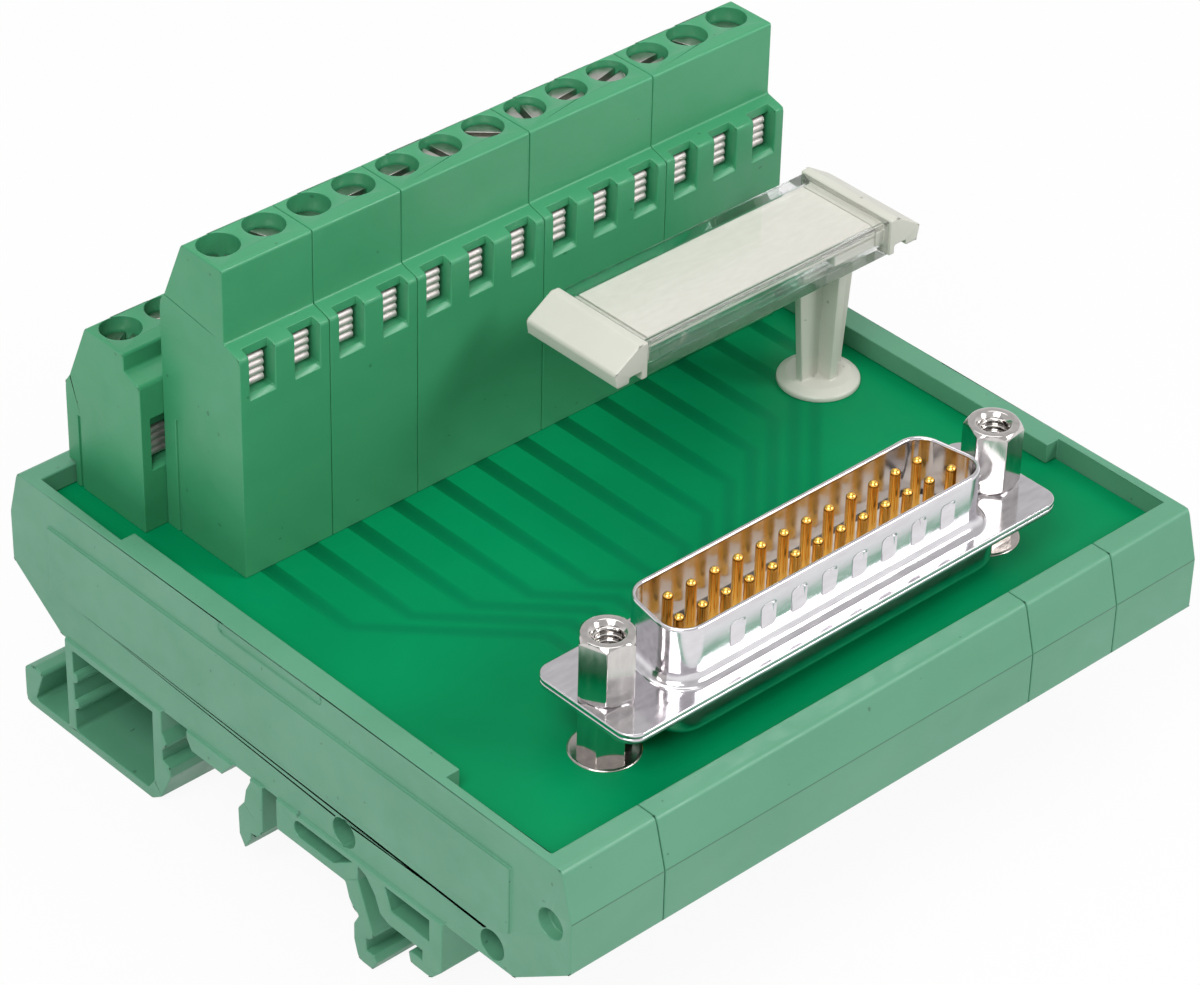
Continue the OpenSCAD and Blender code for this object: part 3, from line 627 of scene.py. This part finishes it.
def build_pad(name, node):
    low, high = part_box(node)
    centre = (low + high) / 2
    radius, rise = 3.3 * MM, 0.16 * MM
    profile = [(0, BOARD_TOP - 0.02 * MM), (radius, BOARD_TOP - 0.02 * MM)]
    profile += [(radius - 0.3 * MM * (1 - math.cos(math.radians(a))), BOARD_TOP + rise * math.sin(math.radians(a)))
                for a in range(0, 91, 15)]
    profile += [(2.6 * MM, BOARD_TOP + rise * 0.85), (2.2 * MM, BOARD_TOP + rise * 1.1), (0, BOARD_TOP + rise * 1.1)]
    bm = bmesh.new()
    lathe(bm, profile, centre, 64)
    piece(name, bm, TIN)


build_pad("solder_pad_left", "spacer_left")
build_pad("solder_pad_right", "spacer_right")


# Copper tracks under the lacquer


def build_tracks():
    """Each track leaves a pole of the tall row, turns to 45 degrees and ends at its contact."""
    half, rim, thick = 0.32 * MM, 0.62 * MM, 0.010 * MM
    rising = [(half + rim + 0.12 * MM, -4, 0), (half + rim + 0.06 * MM, -0.4, 0), (half + rim, -0.1, 0),
              (half + rim / 2, 0.25, 0.4), (half, 0.85, 0.9)]
    profile = [(-across, height, value) for across, height, value in rising] + [(0, 1, 1)] + rising[::-1]
    end_y = CONNECTOR.y + 15 * MM
    stop_y = CONNECTOR.y + 1.42 * MM
    bm = bmesh.new()
    edge = bm.verts.layers.float.new("track")
    for k in range(POLES):
        x0 = FIRST_POLE + k * POLE_PITCH
        x1 = CONNECTOR.x + (k - (POLES - 1) / 2) * PIN_PITCH
        route = [Vector((x0, ROW_FRONT + 6 * MM)), Vector((x0, end_y + abs(x1 - x0))),
                 Vector((x1, end_y)), Vector((x1, stop_y))]
        rails = []
        for across, height, value in profile:
            rail = []
            for i, p in enumerate(route):
                before = (p - route[i - 1]).normalized() if i else (route[1] - p).normalized()
                after = (route[i + 1] - p).normalized() if i < len(route) - 1 else before
                side = (before + after).normalized()
                reach = across / max(0.2, side.dot(after))
                q = p + Vector((-side.y, side.x)) * reach
                v = bm.verts.new((q.x, q.y, BOARD_TOP + height * thick))
                v[edge] = value
                rail.append(v)
            rails.append(rail)
        for a, b in zip(rails, rails[1:] + rails[:1]):
            for i in range(len(route) - 1):
                bm.faces.new((a[i], a[i + 1], b[i + 1], b[i]))
        bm.faces.new([r[0] for r in rails])
        bm.faces.new([r[-1] for r in rails])
    piece("copper_tracks", bm, TRACK)


build_tracks()


# Camera, floor and lights


def build_camera():
    a, e, roll = (math.radians(v) for v in (VIEW_AZIMUTH, VIEW_ELEVATION, VIEW_ROLL))
    back = Vector((math.sin(a) * math.cos(e), -math.cos(a) * math.cos(e), math.sin(e)))
    side = Vector((math.cos(a), math.sin(a), 0))
    up = back.cross(side)
    right = side * math.cos(roll) + up * math.sin(roll)
    above = up * math.cos(roll) - side * math.sin(roll)
    data = bpy.data.cameras.new("camera")
    data.sensor_width = SENSOR
    data.lens = FOCAL_PIXELS / PHOTO_WIDTH * SENSOR
    data.clip_start = 0.01
    camera = bpy.data.objects.new("camera", data)
    camera.matrix_world = Matrix.Translation(Vector(CAMERA_AT)) @ Matrix((right, above, back)).transposed().to_4x4()
    bpy.context.scene.collection.objects.link(camera)
    bpy.context.scene.camera = camera


def shown_rays(tree, *kinds):
    """1 for what the camera sees, or for the kinds of ray named, before any matt surface."""
    path = tree.nodes.new("ShaderNodeLightPath")
    best = path.outputs[kinds[0]]
    for name in kinds[1:]:
        best = number(tree, "MAXIMUM", best, path.outputs[name])
    direct = number(tree, "LESS_THAN", path.outputs["Diffuse Depth"], 0.5)
    return number(tree, "MULTIPLY", best, direct)


def build_floor():
    bm = bmesh.new()
    bmesh.ops.create_grid(bm, x_segments=8, y_segments=8, size=3)
    mesh = bpy.data.meshes.new("floor")
    bm.to_mesh(mesh)
    bm.free()
    floor = bpy.data.objects.new("floor", mesh)
    bpy.context.scene.collection.objects.link(floor)
    mat = bpy.data.materials.new("floor")
    mat.use_nodes = True
    tree = mat.node_tree
    tree.nodes.clear()
    matt = tree.nodes.new("ShaderNodeBsdfDiffuse")
    matt.inputs["Color"].default_value = (0.82, 0.82, 0.82, 1)
    glow = tree.nodes.new("ShaderNodeEmission")
    glow.inputs["Color"].default_value = (1, 1, 1, 1)
    seen = shown_rays(tree, "Is Camera Ray", "Is Glossy Ray", "Is Transmission Ray")
    blend = tree.nodes.new("ShaderNodeMixShader")
    out = tree.nodes.new("ShaderNodeOutputMaterial")
    tree.links.new(number(tree, "MULTIPLY", seen, FLOOR_GLOW), blend.inputs["Fac"])
    tree.links.new(matt.outputs[0], blend.inputs[1])
    tree.links.new(glow.outputs[0], blend.inputs[2])
    tree.links.new(blend.outputs[0], out.inputs["Surface"])
    paint(floor, mat)


def build_world():
    """White to the camera, a softer white as light. Mirrors see it fade to a dim room overhead."""
    world = bpy.data.worlds.new("studio")
    bpy.context.scene.world = world
    world.use_nodes = True
    world.cycles.sampling_method = "NONE"
    tree = world.node_tree
    across = tree.nodes.new("ShaderNodeSeparateXYZ")
    tree.links.new(tree.nodes.new("ShaderNodeTexCoord").outputs["Generated"], across.inputs[0])
    fade = tree.nodes.new("ShaderNodeMapRange")
    for key, value in (("From Min", 0.20), ("From Max", 0.55), ("To Min", 1.0), ("To Max", ROOM_OVERHEAD)):
        fade.inputs[key].default_value = value
    tree.links.new(across.outputs["Z"], fade.inputs["Value"])
    mirrored = number(tree, "MULTIPLY", shown_rays(tree, "Is Glossy Ray"), fade.outputs["Result"])
    seen = shown_rays(tree, "Is Camera Ray", "Is Transmission Ray")
    brightest = number(tree, "MAXIMUM", number(tree, "MAXIMUM", seen, mirrored), ROOM_LIGHT)
    back = tree.nodes["Background"]
    back.inputs["Color"].default_value = (1, 1, 1, 1)
    tree.links.new(brightest, back.inputs["Strength"])


def softbox(name, at, size, watts):
    """A square lamp that faces the module."""
    data = bpy.data.lights.new(name, "AREA")
    data.shape = "RECTANGLE"
    data.size, data.size_y = size
    data.energy = watts
    lamp = bpy.data.objects.new(name, data)
    lamp.location = at
    aim = Vector((0, 0, 0.03)) - Vector(at)
    lamp.rotation_euler = aim.to_track_quat("-Z", "Y").to_euler()
    bpy.context.scene.collection.objects.link(lamp)


build_camera()
build_floor()
build_world()
softbox("key", (-0.55, -0.25, 0.75), (0.5, 0.5), 5.6)
softbox("top", (0.1, 0.2, 0.9), (0.6, 0.6), 2.0)
softbox("fill", (0.42, -0.6, 0.55), (0.3, 0.3), 3.0)

bpy.context.scene.view_settings.view_transform = "Standard"
